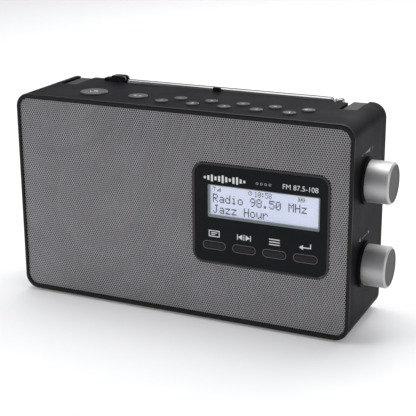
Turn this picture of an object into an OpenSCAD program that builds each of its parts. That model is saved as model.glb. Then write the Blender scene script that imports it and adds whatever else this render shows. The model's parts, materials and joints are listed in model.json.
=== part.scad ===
// Tabletop radio with a perforated front, a display panel, two side knobs,
// a telescopic aerial and a folding carrying handle.
// Millimetres. +Z is up and the front faces -Y. The origin lies on the table,
// under the middle of the whole radio, its knobs included. The modules are drawn
// around the middle of the cabinet, and placed() moves them there.

/* [Cabinet] */
// Width of the cabinet
body_w = 250; // [235:1:300]
// Depth of the cabinet, front to back
body_d = 70; // [66:1:84]
// Height of the cabinet without its feet
body_h = 146.8; // [140:0.2:178]
// Radius of the four long edges
corner_r = 10; // [6:0.5:14]
// Wall thickness of both cabinet halves
wall = 2.4; // [2:0.1:3]
// Depth of the rear half behind the parting line
rear_d = 8.5; // [7:0.5:10]

/* [Feet] */
// Height of the rubber feet
foot_h = 1.5; // [1:0.1:4]
// Diameter of the rubber feet
foot_dia = 12; // [8:1:18]

/* [Grille] */
// Width of the rim at each side of the grille
rim_side = 2.6; // [2:0.1:4]
// Width of the rim above and below the grille
rim_top = 3.4; // [2:0.1:5]
// How far the grille lies behind the rim
grille_recess = 1; // [0.5:0.1:1.5]
// Thickness of the perforated sheet
grille_t = 0.8; // [0.5:0.1:1.2]
// Thickness of the baffle behind the grille
baffle_t = 2.2; // [1.6:0.1:3]

/* [Display panel] */
// Width of the panel
panel_w = 97.5; // [90:0.5:104]
// Height of the panel
panel_h = 70.7; // [62:0.1:80]
// Distance from the panel's right edge to the cabinet's right side
panel_inset = 14.9; // [12:0.1:24]
// Height of the panel's lower edge above the cabinet's underside
panel_rise = 41.4; // [36:0.1:48]
// Corner radius of the panel
panel_r = 8; // [5:0.5:10]
// Width of the display window
window_w = 79.3; // [70:0.1:80]
// Height of the display window
window_h = 23; // [18:0.5:24]
// Distance from the window's top edge to the panel's top edge
window_drop = 14.8; // [12:0.1:20]
// Length of one panel key
pkey_w = 15.4; // [12:0.1:17]
// Height of one panel key
pkey_h = 4.4; // [3.5:0.1:6]
// Spacing of the panel keys
pkey_pitch = 21.8; // [19:0.1:22]
// Height of the key row above the panel's lower edge
pkey_rise = 13; // [9:0.1:15]

/* [Top keys] */
// Diameter of the power key
power_dia = 20; // [16:0.5:24]
// Diameter of the snooze key
snooze_dia = 14; // [11:0.5:18]
// Diameter of the ten small keys
small_dia = 9.3; // [8:0.1:11]
// Spacing of the small keys in one row
small_pitch = 23.15; // [19:0.05:24]
// How far the keys stand above the cabinet
key_proud = 1; // [0.6:0.1:1.6]
// Travel of every key
key_travel = 0.7; // [0.4:0.1:0.8]

/* [Knobs] */
// Diameter of the knobs
knob_dia = 28; // [22:0.5:30]
// Length of the knobs
knob_len = 16.4; // [12:0.2:20]
// Height of the lower knob's centre above the cabinet's underside
knob_rise = 46.3; // [40:0.1:50]
// Distance between the knobs' centres
knob_pitch = 57.9; // [50:0.1:62]
// Diameter of the collar under each knob
collar_dia = 31.5; // [30.5:0.5:34]
// Height of the collar
collar_h = 2; // [1:0.1:3]
// Diameter of the control shafts
shaft_dia = 6; // [5:0.1:7]

/* [Carrying handle] */
// Width of one handle arm
arm_w = 9.5; // [7:0.1:10.5]
// Thickness of one handle arm
arm_t = 8.2; // [7:0.1:8.6]
// Width of the slot for each arm
slot_w = 12.5; // [11:0.1:14]
// Distance from a slot's outer side to the cabinet's side
slot_inset = 12; // [11.5:0.1:15]
// Length of the arms' slots from the cabinet's back
slot_len = 28.8; // [27.4:0.1:31]
// Height of the grip bar
grip_h = 17; // [14:0.5:19]
// Thickness of the grip bar
grip_t = 6; // [5:0.1:6.4]
// Diameter of the handle pins
handle_pin_dia = 2.4; // [2:0.1:3]

/* [Aerial] */
// Diameter of the outermost tube
tube_dia = 6.4; // [6:0.1:6.6]
// Wall thickness of each tube
tube_wall = 0.4; // [0.3:0.05:0.42]
// Length of the outermost tube
tube_len = 156.5; // [120:0.5:158]
// How far the aerial's axis lies below the cabinet's top
aerial_drop = 1; // [0.6:0.1:1.4]
// Distance from the swivel's axis to the cabinet's middle
swivel_x = 80; // [78:0.5:84]
// Diameter of the swivel's stem
stem_dia = 6.6; // [5:0.1:6.8]
// Diameter of the aerial's hinge pin
aerial_pin_dia = 2.4; // [2:0.1:3]

/* [Speaker] */
// Diameter of the loudspeaker
speaker_dia = 92; // [80:1:100]
// Distance from the loudspeaker's centre to the cabinet's left side
speaker_inset = 68; // [62:1:76]
// Height of the loudspeaker's centre above the cabinet's underside
speaker_rise = 72; // [66:1:80]
// Depth of the loudspeaker behind the baffle
speaker_depth = 36; // [30:1:42]

/* [Battery compartment] */
// Diameter of one cell
cell_dia = 26; // [24:0.1:26.6]
// Length of one cell
cell_len = 49.5; // [46:0.1:50]
// Width of the battery door
door_w = 100; // [90:1:102]
// Height of the battery door
door_h = 56; // [50:1:58]
// Thickness of the battery door
door_t = 2.2; // [1.8:0.1:2.4]

/* [Sockets] */
// Bore of the headphone socket
phone_bore = 3.6; // [3.55:0.01:3.62]
// Bore of the power socket
power_bore = 5.6; // [5.5:0.1:6.5]

/* [Hidden] */
$fn = 48;

// Fits
gap = 0.3;          // between pieces that move past each other
fit = 0.05;         // radial clearance of a shaft or a pin in its bore
joint_gap = 0.15;   // between fixed pieces that sit in an opening
cut = 1;            // how far a cut runs past a face

// Cabinet
bottom_z = foot_h;
top_z = bottom_z + body_h;
front_y = -body_d / 2;
back_y = body_d / 2;
seam_y = back_y - rear_d;
side_x = body_w / 2;
mid_z = bottom_z + body_h / 2;
inner_r = corner_r - wall;
ceiling_z = top_z - wall;
floor_z = bottom_z + wall;

// Grille and baffle
grille_w = body_w - 2 * rim_side;
grille_h = body_h - 2 * rim_top;
grille_r = corner_r - rim_side;
grille_y = front_y + grille_recess;
baffle_y = grille_y + grille_t;
baffle_back = baffle_y + baffle_t;

// Display panel
panel_x = side_x - panel_inset - panel_w / 2;
panel_z = bottom_z + panel_rise + panel_h / 2;
panel_ledge = 3;
window_x = panel_x + 2.3;
window_z = panel_z + panel_h / 2 - window_drop - window_h / 2;
window_r = 1;
bezel_back = baffle_y;
lens_t = 0.9;
lens_y = front_y + 0.5;
lcd_y = bezel_back + joint_gap;
lcd_t = 2;
lcd_margin = 2.6;
holder_t = 1.6;
board_t = 1.6;
pkey_z = panel_z - panel_h / 2 + pkey_rise;
pkey_x0 = panel_x - 1.5 * pkey_pitch;
pkey_proud = 0.2;
pkey_flange = 1;
pkey_flange_y = bezel_back + gap;
pkey_stem_y = pkey_flange_y + pkey_flange + 2.2;
display_board_y = pkey_stem_y + key_travel + gap + 2.2;

// Top keys
key_y = front_y + 22.6;
small_front_y = key_y - 7.1;
small_back_y = key_y + 5;
power_x = -74;
snooze_x = -39;
small_front_x = -17.1;
small_back_x = -8.4;
key_flange = 1.2;
key_flange_t = 1.2;
key_flange_z = ceiling_z - gap - key_flange_t;
key_board_z = key_flange_z - key_travel - gap - 2.6 - board_t;
small_sites = [for (i = [0:4]) [small_front_x + i * small_pitch, small_front_y],
               for (i = [0:4]) [small_back_x + i * small_pitch, small_back_y]];
key_sites = concat([[power_x, key_y], [snooze_x, key_y]], small_sites);
key_dias = concat([power_dia, snooze_dia], [for (s = small_sites) small_dia]);

// Knobs
knob_y = front_y + 28;
knob_base_x = side_x + collar_h + gap;
knob_end_x = knob_base_x + knob_len;
knob_wall = 1.6;
knob_bevel = 1.1;
lower_knob_z = bottom_z + knob_rise;
upper_knob_z = lower_knob_z + knob_pitch;
bush_dia = shaft_dia + 2.8;
control_x = side_x - wall - 10;
control_t = 9;
control_w = 17;

// Handle
slot_out = side_x - slot_inset;
slot_in = slot_out - slot_w;
arm_x = (slot_out + slot_in) / 2;
arm_r = 2.6;
arm_sink = 1;
arm_top_z = top_z - arm_sink;
handle_z = arm_top_z - arm_r;
slot_front_y = back_y - slot_len;
handle_y = slot_front_y + 2 * arm_r;
slot_floor_z = arm_top_z - arm_t - gap;
slot_wall = 2;
grip_back_y = back_y - 0.6;
grip_top_z = top_z - 23.3;
recess_y = grip_back_y - grip_t - 0.8;
recess_low_z = grip_top_z - grip_h - 3;
ledge_low_z = top_z - 9.3;
pocket_y = recess_y - wall;
handle_pin_len = slot_w + 2 * slot_wall - 0.4;

// Aerial
aerial_y = back_y - 5;
aerial_z = top_z - aerial_drop;
tube_count = 5;
tube_step = tube_wall + 0.1;
ledge_z = aerial_z - tube_dia / 2 - 0.35;
groove_left = -swivel_x - stem_dia / 2 - 0.9;
turret_right = -swivel_x + 10;
turret_left = -swivel_x - stem_dia / 2;
turret_top = top_z + 4.5;
turret_r = 3;
stem_below = 1.5;
tilt_x = -swivel_x + 5;
lug_t = 3;
lug_r = 2.6;
tube_x0 = tilt_x + 6.5;
tube_x1 = tube_x0 + tube_len;
tip_dia = tube_dia - 0.3;
tip_len = 6.5;
rest_x = 4;
rest_w = 6;
rest_t = 1.7;
rest_h = 2.7;
rest_peg_r = 0.7;

// Speaker
speaker_x = -side_x + speaker_inset;
speaker_z = bottom_z + speaker_rise;
flange_t = 2;
speaker_y = baffle_back;
cone_dia = speaker_dia - 14;
magnet_dia = 50;
magnet_t = 13;
speaker_screw_r = speaker_dia / 2 - 3;

// Battery compartment
tray_wall = 1.6;
tray_in_w = 2 * cell_len + 4.3;
tray_in_h = 2 * cell_dia + 2;
door_x = side_x - 65;
door_z0 = bottom_z + 8.9;
hinge_r = 1.6;
hinge_y = back_y - hinge_r;
hinge_z = door_z0 + hinge_r;
door_pin_r = 1.1;
tray_x0 = door_x - tray_in_w / 2;
tray_z0 = door_z0 + (door_h - tray_in_h) / 2;
tray_back_y = back_y - 2 * hinge_r - gap;
cell_y = tray_back_y - cell_dia / 2 - 0.8;
tray_front_y = cell_y - cell_dia / 2 - 0.6;

// Sockets and screws
socket_x = -side_x + 25;
phone_z = bottom_z + 58;
power_z = bottom_z + 34;
phone_len = 14;
boss_r = 3.4;
boss_x = side_x - wall - boss_r - 0.8;
boss_low_z = bottom_z + 12.5;
boss_high_z = top_z - 16.3;
boss_front_y = seam_y - 18;
screw_r = 1.4;
screw_head_r = 2.7;
screw_head_t = 1.8;

// Main board
main_x0 = -4;
main_w = 98;
main_z0 = tray_z0 + tray_in_h + tray_wall + 2;
main_h = slot_floor_z - slot_wall - 6 - main_z0;
main_y = front_y + 45;

// ---- shapes shared by several pieces ----

// Rectangle with true round corners
module rounded(w, h, r) {
  square([w - 2 * r, h], center = true);
  square([w, h - 2 * r], center = true);
  for (i = [-1, 1], j = [-1, 1]) translate([i * (w / 2 - r), j * (h / 2 - r)]) circle(r);
}

// Upright plate with round corners, from y0 to y1
module plate(w, h, r, x, z, y0, y1) {
  translate([x, y1, z]) rotate([90, 0, 0]) linear_extrude(y1 - y0) rounded(w, h, r);
}

// Box between two corners
module block(a, b) { translate(a) cube(b - a); }

// Cylinders along X and along Y, between two places on that axis
module rod_x(r, x0, x1, y, z) { translate([x0, y, z]) rotate([0, 90, 0]) cylinder(r = r, h = x1 - x0); }
module rod_y(r, y0, y1, x, z) { translate([x, y0, z]) rotate([-90, 0, 0]) cylinder(r = r, h = y1 - y0); }

module both_sides() { children(); mirror([1, 0, 0]) children(); }

// ---- cabinet ----

// Slots for the handle's arms, seen from above
module arm_slots() {
  both_sides() {
    block([slot_in, slot_front_y, slot_floor_z], [slot_out, back_y + cut, top_z + cut]);
    block([slot_in, recess_y, recess_low_z], [slot_out, back_y + cut, top_z + cut]);
  }
}

module screw_bosses() {
  for (z = [boss_low_z, boss_high_z]) both_sides() {
    rod_y(boss_r, boss_front_y, seam_y, boss_x, z);
    block([boss_x, boss_front_y, z - 1], [side_x - wall / 2, seam_y, z + 1]);
  }
}

module knob_collar(z) {
  rod_x(collar_dia / 2, side_x - 0.5, side_x + collar_h, knob_y, z);
}

module front_cabinet() color([0.13, 0.13, 0.15]) difference() {
  union() {
    difference() {
      plate(body_w, body_h, corner_r, 0, mid_z, front_y, seam_y);
      plate(body_w - 2 * wall, body_h - 2 * wall, inner_r, 0, mid_z, baffle_back, seam_y + cut);
    }
    both_sides() block([slot_in - slot_wall, slot_front_y - slot_wall, slot_floor_z - slot_wall],
                       [slot_out + slot_wall, pocket_y - gap, ceiling_z + 0.1]);
    screw_bosses();
    for (z = [lower_knob_z, upper_knob_z]) knob_collar(z);
  }
  plate(grille_w, grille_h, grille_r, 0, mid_z, front_y - cut, baffle_y);
  plate(panel_w - 2 * panel_ledge, panel_h - 2 * panel_ledge, panel_r - panel_ledge,
        panel_x, panel_z, baffle_y - cut, baffle_back + cut);
  rod_y(cone_dia / 2, baffle_y - cut, baffle_back + cut, speaker_x, speaker_z);
  for (i = [0:len(key_sites) - 1])
    translate([key_sites[i][0], key_sites[i][1], ceiling_z - cut])
      cylinder(d = key_dias[i] + 2 * gap, h = wall + 2 * cut);
  for (z = [lower_knob_z, upper_knob_z]) {
    rod_x(bush_dia / 2 + joint_gap, side_x - wall - cut, knob_base_x, knob_y, z);
    rod_x(collar_dia / 2 - 2.2, side_x + 0.6, knob_base_x, knob_y, z);
  }
  arm_slots();
  translate([rest_x, seam_y - rest_t / 2, top_z - 1.6]) cylinder(r = rest_peg_r, h = 2);
  both_sides() rod_x(handle_pin_dia / 2, arm_x - handle_pin_len / 2, arm_x + handle_pin_len / 2,
                     handle_y, handle_z);
  for (z = [boss_low_z, boss_high_z]) both_sides()
    rod_y(screw_r, boss_front_y + 2, seam_y + cut, boss_x, z);
  for (a = [45:90:315])
    rod_y(screw_r, baffle_y + 0.6, baffle_back + cut, speaker_x + speaker_screw_r * cos(a),
          speaker_z + speaker_screw_r * sin(a));
}

// Lugs that carry the battery door's pins
module door_lugs(extra) {
  for (s = [-1, 1])
    block([door_x + s * (door_w / 2 + 2) - 1.7 - extra, hinge_y - 3 - extra, bottom_z + wall / 2],
          [door_x + s * (door_w / 2 + 2) + 1.7 + extra, back_y - 0.5, hinge_z + 3 + extra]);
}

module rear_cabinet() color([0.11, 0.11, 0.13]) difference() {
  union() {
    difference() {
      plate(body_w, body_h, corner_r, 0, mid_z, seam_y, back_y);
      plate(body_w - 2 * wall, body_h - 2 * wall, inner_r, 0, mid_z, seam_y - cut, back_y - wall);
    }
    block([-slot_out - slot_wall, pocket_y, recess_low_z - wall],
          [slot_out + slot_wall, back_y - 1, ceiling_z - gap]);
    door_lugs(0);
    block([groove_left - 4, seam_y + 1, top_z - 1], [groove_left, back_y - 1, top_z + 2]);
  }
  block([-slot_out, recess_y, recess_low_z], [slot_out, back_y + cut, ledge_low_z]);
  arm_slots();
  block([groove_left, seam_y - cut, ledge_z], [slot_in + cut, back_y + cut, top_z + 3]);
  block([-slot_out - slot_wall - cut, seam_y - wall - 10, ceiling_z - gap],
        [slot_out + slot_wall + cut, seam_y, top_z + cut]);
  translate([-swivel_x, aerial_y, ledge_low_z - stem_below - gap])
    cylinder(d = stem_dia + 2 * fit, h = top_z - ledge_low_z);
  block([door_x - door_w / 2 - gap, back_y - wall - cut, door_z0 - 0.4],
        [door_x + door_w / 2 + gap, back_y + cut, door_z0 + door_h + gap]);
  rod_x(door_pin_r + fit, door_x - door_w / 2 - 3, door_x + door_w / 2 + 3, hinge_y, hinge_z);
  rod_y(3, back_y - wall - cut, back_y + cut, socket_x, phone_z);
  rod_y(4.2, back_y - wall - cut, back_y + cut, socket_x, power_z);
  for (z = [boss_low_z, boss_high_z]) both_sides() {
    rod_y(screw_r + 0.1, seam_y - cut, back_y + cut, boss_x, z);
    rod_y(screw_head_r + joint_gap, back_y - screw_head_t, back_y + cut, boss_x, z);
  }
}

module rubber_feet() color([0.06, 0.06, 0.06])
  for (x = [-1, 1], y = [-1, 1])
    translate([x * (side_x - 24), y * (front_y + 14), 0]) cylinder(d = foot_dia, h = foot_h);

module case_screws() color("silver")
  for (z = [boss_low_z, boss_high_z]) both_sides() {
    rod_y(screw_r, seam_y - 12, back_y - screw_head_t, boss_x, z);
    difference() {
      rod_y(screw_head_r, back_y - screw_head_t, back_y - 0.3, boss_x, z);
      block([boss_x - 1.8, back_y - 1, z - 0.35], [boss_x + 1.8, back_y, z + 0.35]);
      block([boss_x - 0.35, back_y - 1, z - 1.8], [boss_x + 0.35, back_y, z + 1.8]);
    }
  }

// ---- front ----

module speaker_grille() color([0.55, 0.55, 0.56]) difference() {
  plate(grille_w - 2 * joint_gap, grille_h - 2 * joint_gap, grille_r - joint_gap, 0, mid_z,
        grille_y, baffle_y);
  plate(panel_w + 2 * joint_gap, panel_h + 2 * joint_gap, panel_r + joint_gap, panel_x, panel_z,
        grille_y - cut, baffle_y + cut);
}

module key_openings(extra) {
  for (i = [0:3])
    plate(pkey_w + 2 * extra, pkey_h + 2 * extra, pkey_h / 2 + extra - 0.01,
          pkey_x0 + i * pkey_pitch, pkey_z, front_y - cut, bezel_back + cut);
}

module display_bezel() color([0.04, 0.04, 0.05]) difference() {
  plate(panel_w, panel_h, panel_r, panel_x, panel_z, front_y, bezel_back);
  plate(window_w, window_h, window_r, window_x, window_z, front_y - cut, bezel_back + cut);
  key_openings(gap);
}

module display_window() color([0.6, 0.65, 0.7, 0.4])
  plate(window_w - 2 * joint_gap, window_h - 2 * joint_gap, window_r - joint_gap,
        window_x, window_z, lens_y, lens_y + lens_t);

module lcd_glass() color([0.84, 0.86, 0.94])
  plate(window_w + 2 * lcd_margin, window_h + 2 * lcd_margin, 1, window_x, window_z,
        lcd_y, lcd_y + lcd_t);

module lcd_holder() color([0.8, 0.8, 0.78]) difference() {
  plate(window_w + 2 * lcd_margin + 2, window_h + 2 * lcd_margin + 2, 2, window_x, window_z,
        lcd_y, display_board_y);
  plate(window_w + 2 * lcd_margin + 0.2, window_h + 2 * lcd_margin + 0.2, 1, window_x, window_z,
        lcd_y - cut, lcd_y + lcd_t + 0.1);
  plate(window_w - 2, window_h - 2, 1, window_x, window_z, lcd_y + lcd_t + holder_t,
        display_board_y + cut);
}

module display_board() color([0.1, 0.35, 0.2])
  plate(panel_w - 2 * panel_ledge - 1, panel_h - 2 * panel_ledge - 1, 3, panel_x, panel_z,
        display_board_y, display_board_y + board_t);

module panel_key_switches() color([0.2, 0.2, 0.22])
  for (i = [0:3]) {
    x = pkey_x0 + i * pkey_pitch;
    rod_y(1.7, pkey_stem_y + key_travel + gap, display_board_y - 1.4, x, pkey_z);
    plate(6, 6, 0.4, x, pkey_z, display_board_y - 1.5, display_board_y);
  }

module panel_key(i) color([0.07, 0.07, 0.08]) {
  x = pkey_x0 + i * pkey_pitch;
  plate(pkey_w, pkey_h, pkey_h / 2 - 0.01, x, pkey_z, front_y - pkey_proud, pkey_flange_y + 0.1);
  plate(pkey_w + 2, pkey_h + 2, 1, x, pkey_z, pkey_flange_y, pkey_flange_y + pkey_flange);
  rod_y(1.5, pkey_flange_y, pkey_stem_y, x, pkey_z);
}

// ---- top keys ----

module top_key(i) color([0.5, 0.5, 0.52]) {
  r = key_dias[i] / 2;
  edge = 0.8;
  translate([key_sites[i][0], key_sites[i][1], 0]) rotate_extrude() polygon([
    [0, key_flange_z], [r + key_flange, key_flange_z], [r + key_flange, key_flange_z + key_flange_t],
    [r, key_flange_z + key_flange_t], [r, top_z + key_proud - 0.5],
    [r - edge, top_z + key_proud - 0.1], [0, top_z + key_proud]]);
}

module top_key_board() color([0.1, 0.35, 0.2])
  block([power_x - power_dia / 2 - 1, front_y + 9, key_board_z],
        [small_back_x + 4 * small_pitch + 9, small_back_y + 8, key_board_z + board_t]);

module top_key_switches() color([0.2, 0.2, 0.22])
  for (s = key_sites) translate([s[0], s[1], key_board_z + board_t]) {
    translate([-3, -3, 0]) cube([6, 6, 1.8]);
    cylinder(r = 1.6, h = 2.6);
  }

// ---- knobs ----

module knob_cap(z) translate([knob_base_x, knob_y, z]) rotate([0, 90, 0]) rotate_extrude() {
  r = knob_dia / 2;
  polygon([[r - knob_wall, 0], [r, 0], [r, knob_len - knob_bevel], [r - knob_bevel, knob_len],
           [0, knob_len], [0, knob_len - knob_wall], [r - knob_wall, knob_len - knob_wall]]);
}

module knob_core(z) difference() {
  rod_x(knob_dia / 2 - knob_wall, knob_base_x + 1, knob_end_x - knob_wall, knob_y, z);
  rod_x(shaft_dia / 2, knob_base_x, knob_end_x - knob_wall - 2, knob_y, z);
}

module control_shaft(z)
  rod_x(shaft_dia / 2, control_x - control_t + 1, knob_end_x - knob_wall - 2, knob_y, z);

module control_body(z) difference() {
  union() {
    plate_x0 = control_x - control_t;
    block([plate_x0, knob_y - control_w / 2, z - control_w / 2],
          [control_x, knob_y + control_w / 2, z + control_w / 2]);
    rod_x(bush_dia / 2, control_x - 0.5, side_x + 0.4, knob_y, z);
  }
  rod_x(shaft_dia / 2 + fit, control_x - control_t + 1 - gap, knob_base_x, knob_y, z);
}

module volume_knob_cap() color([0.62, 0.62, 0.63]) knob_cap(upper_knob_z);
module tuning_knob_cap() color([0.62, 0.62, 0.63]) knob_cap(lower_knob_z);
module volume_knob_core() color([0.1, 0.1, 0.1]) knob_core(upper_knob_z);
module tuning_knob_core() color([0.1, 0.1, 0.1]) knob_core(lower_knob_z);
module volume_shaft() color("silver") control_shaft(upper_knob_z);
module tuning_shaft() color("silver") control_shaft(lower_knob_z);
module volume_control() color([0.45, 0.45, 0.5]) control_body(upper_knob_z);
module tuning_encoder() color([0.45, 0.45, 0.5]) control_body(lower_knob_z);

// ---- loudspeaker ----

module speaker_basket() color([0.25, 0.25, 0.27])
  translate([speaker_x, speaker_y, speaker_z]) rotate([-90, 0, 0]) rotate_extrude() polygon([
    [cone_dia / 2, 0], [speaker_dia / 2, 0], [speaker_dia / 2, flange_t],
    [cone_dia / 2 + 1.5, flange_t], [magnet_dia / 2 - 3, speaker_depth - magnet_t],
    [10, speaker_depth - magnet_t], [10, speaker_depth - magnet_t - 1.5],
    [magnet_dia / 2 - 4, speaker_depth - magnet_t - 1.5], [cone_dia / 2, flange_t]]);

module speaker_cone() color([0.15, 0.15, 0.16])
  translate([speaker_x, speaker_y, speaker_z]) rotate([-90, 0, 0]) rotate_extrude() polygon([
    [0, 6], [11, 11], [cone_dia / 2 - 5, 1.6], [cone_dia / 2 - 1, 0.6], [cone_dia / 2 - 0.4, 0.6],
    [cone_dia / 2 - 0.4, 1.4], [cone_dia / 2 - 4.4, 2.6], [11.5, 12.4], [9, 18], [8.4, 18],
    [8.4, 12], [0, 7]]);

module speaker_magnet() color([0.3, 0.3, 0.3])
  rod_y(magnet_dia / 2, speaker_y + speaker_depth - magnet_t, speaker_y + speaker_depth,
        speaker_x, speaker_z);

module speaker_screws() color("silver")
  for (a = [45:90:315]) {
    x = speaker_x + speaker_screw_r * cos(a);
    z = speaker_z + speaker_screw_r * sin(a);
    rod_y(2.2, speaker_y + flange_t, speaker_y + flange_t + 1.6, x, z);
  }

// ---- boards ----

module main_board() color([0.1, 0.35, 0.2])
  block([main_x0, main_y, main_z0], [main_x0 + main_w, main_y + board_t, main_z0 + main_h]);

module tuner_shield() color("silver")
  block([main_x0 + 14, main_y + board_t, main_z0 + 12],
        [main_x0 + 56, main_y + board_t + 7, main_z0 + 44]);

// ---- carrying handle ----

module arm_profile() {
  translate([handle_y, handle_z]) circle(arm_r);
  translate([handle_y, arm_top_z - arm_t]) square([grip_back_y - handle_y, arm_t]);
  translate([grip_back_y - grip_t, grip_top_z - grip_h])
    square([grip_t, arm_top_z - grip_top_z + grip_h]);
}

module carry_handle() color([0.3, 0.3, 0.32]) {
  both_sides() difference() {
    translate([arm_x - arm_w / 2, 0, 0]) rotate([90, 0, 90]) linear_extrude(arm_w) arm_profile();
    rod_x(handle_pin_dia / 2 + fit, arm_x - arm_w, arm_x + arm_w, handle_y, handle_z);
  }
  block([-arm_x, grip_back_y - grip_t, grip_top_z - grip_h], [arm_x, grip_back_y, grip_top_z]);
}

module handle_pins() color("silver")
  both_sides() rod_x(handle_pin_dia / 2, arm_x - handle_pin_len / 2, arm_x + handle_pin_len / 2,
                     handle_y, handle_z);

// ---- aerial ----

module aerial_turret() color([0.05, 0.05, 0.05]) difference() {
  intersection() {
    union() {
      translate([-swivel_x, aerial_y, ledge_low_z - stem_below])
        cylinder(d = stem_dia, h = turret_top - ledge_low_z + stem_below);
      block([-swivel_x, aerial_y - tube_dia / 2, ledge_z + gap],
            [turret_right, aerial_y + tube_dia / 2, turret_top]);
    }
    plate(turret_right - turret_left, 2 * (turret_top - ledge_low_z), turret_r,
          (turret_left + turret_right) / 2, ledge_low_z, aerial_y - tube_dia, aerial_y + tube_dia);
  }
  block([tilt_x - lug_r - gap, aerial_y - lug_t / 2 - gap / 2, ledge_z + gap - cut],
        [turret_right + cut, aerial_y + lug_t / 2 + gap / 2, turret_top + cut]);
  rod_y(aerial_pin_dia / 2, aerial_y - tube_dia, aerial_y + tube_dia, tilt_x, aerial_z);
}

module aerial_hinge_pin() color("silver")
  rod_y(aerial_pin_dia / 2, aerial_y - tube_dia / 2, aerial_y + tube_dia / 2, tilt_x, aerial_z);

// Section i of the aerial, counted from the outermost
module aerial_tube(i) color([0.85, 0.85, 0.87]) {
  r = tube_dia / 2 - i * tube_step;
  x0 = tube_x0 + (i == 0 ? 0 : 2 + i);
  x1 = tube_x1 + i * 0.5;
  difference() {
    rod_x(r, x0, x1, aerial_y, aerial_z);
    if (i < tube_count - 1) rod_x(r - tube_wall, x0 + (i == 0 ? 2 : -cut), x1 + cut, aerial_y, aerial_z);
  }
  if (i == 0) difference() {
    union() {
      rod_y(lug_r, aerial_y - lug_t / 2, aerial_y + lug_t / 2, tilt_x, aerial_z);
      block([tilt_x, aerial_y - lug_t / 2, aerial_z - lug_r + 0.6],
            [x0 + 0.5, aerial_y + lug_t / 2, aerial_z + lug_r - 0.6]);
    }
    rod_y(aerial_pin_dia / 2 + fit, aerial_y - lug_t, aerial_y + lug_t, tilt_x, aerial_z);
  }
  if (i == tube_count - 1) rod_x(tip_dia / 2, x1 - 0.2, x1 + tip_len, aerial_y, aerial_z);
}

// Small post that keeps the stowed aerial in its groove
module aerial_rest() color([0.05, 0.05, 0.05]) {
  translate([rest_x, seam_y, top_z]) rotate([90, 0, 0]) linear_extrude(rest_t) intersection() {
    rounded(rest_w, 2 * rest_h, 1);
    translate([-rest_w / 2, 0]) square([rest_w, rest_h]);
  }
  translate([rest_x, seam_y - rest_t / 2, top_z - 1.5]) cylinder(r = rest_peg_r, h = 1.6);
}

// ---- battery compartment ----

module battery_tray() color([0.15, 0.15, 0.16]) difference() {
  block([tray_x0 - tray_wall, tray_front_y - tray_wall, tray_z0 - tray_wall],
        [tray_x0 + tray_in_w + tray_wall, tray_back_y, tray_z0 + tray_in_h + tray_wall]);
  block([tray_x0, tray_front_y, tray_z0],
        [tray_x0 + tray_in_w, tray_back_y + cut, tray_z0 + tray_in_h]);
  door_lugs(gap);
}

function cell_z(row) = tray_z0 + tray_in_h / 2 + (row - 0.5) * (cell_dia + 0.6);

module battery_contacts() color("silver")
  for (row = [0, 1]) {
    rod_x(6, tray_x0, tray_x0 + 1.8, cell_y, cell_z(row));
    rod_x(6, tray_x0 + tray_in_w - 1.2, tray_x0 + tray_in_w, cell_y, cell_z(row));
  }

module battery_cells() color([0.75, 0.6, 0.2])
  for (row = [0, 1], col = [0, 1]) {
    x0 = tray_x0 + 2 + col * (cell_len + 0.2);
    rod_x(cell_dia / 2, x0, x0 + cell_len - 1.6, cell_y, cell_z(row));
    rod_x(3.2, x0 + cell_len - 1.7, x0 + cell_len, cell_y, cell_z(row));
  }

module battery_door() color([0.12, 0.12, 0.14]) {
  translate([door_x - door_w / 2, 0, 0]) rotate([90, 0, 90]) linear_extrude(door_w) {
    translate([hinge_y, hinge_z]) circle(hinge_r);
    translate([back_y - door_t, hinge_z]) square([door_t, door_h - hinge_r]);
  }
  rod_x(door_pin_r, door_x - door_w / 2 - 2.6, door_x + door_w / 2 + 2.6, hinge_y, hinge_z);
}

// ---- sockets ----

module headphone_socket() color([0.1, 0.1, 0.1]) difference() {
  union() {
    rod_y(2.9, back_y - wall - 1, back_y, socket_x, phone_z);
    block([socket_x - 4, back_y - wall - 14, phone_z - 4], [socket_x + 4, back_y - wall, phone_z + 4]);
  }
  rod_y(phone_bore / 2, back_y - phone_len, back_y + cut, socket_x, phone_z);
}

module power_socket() color([0.1, 0.1, 0.1]) {
  difference() {
    union() {
      rod_y(4.1, back_y - wall - 1, back_y, socket_x, power_z);
      block([socket_x - 5, back_y - wall - 12, power_z - 5], [socket_x + 5, back_y - wall, power_z + 5]);
    }
    rod_y(power_bore / 2, back_y - 9, back_y + cut, socket_x, power_z);
  }
  rod_y(1, back_y - 9.5, back_y - 1, socket_x, power_z);
}

// ---- placing ----

// From the cabinet's middle to the middle of the whole radio
module placed() translate([-(knob_end_x - side_x) / 2, pkey_proud / 2, 0]) children();

placed() front_cabinet();
placed() rear_cabinet();
placed() speaker_grille();
placed() display_bezel();
placed() display_window();
placed() lcd_glass();
placed() lcd_holder();
placed() display_board();
placed() panel_key_switches();
placed() panel_key(0);  // display_key
placed() panel_key(1);  // autotune_key
placed() panel_key(2);  // menu_key
placed() panel_key(3);  // enter_key
placed() top_key(0);  // power_key
placed() top_key(1);  // snooze_key
placed() top_key(2);  // top_key_1
placed() top_key(3);  // top_key_2
placed() top_key(4);  // top_key_3
placed() top_key(5);  // top_key_4
placed() top_key(6);  // top_key_5
placed() top_key(7);  // top_key_6
placed() top_key(8);  // top_key_7
placed() top_key(9);  // top_key_8
placed() top_key(10);  // top_key_9
placed() top_key(11);  // top_key_10
placed() top_key_board();
placed() top_key_switches();
placed() volume_knob_cap();
placed() volume_knob_core();
placed() volume_shaft();
placed() volume_control();
placed() tuning_knob_cap();
placed() tuning_knob_core();
placed() tuning_shaft();
placed() tuning_encoder();
placed() speaker_basket();
placed() speaker_cone();
placed() speaker_magnet();
placed() speaker_screws();
placed() main_board();
placed() tuner_shield();
placed() carry_handle();
placed() handle_pins();
placed() aerial_turret();
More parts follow.
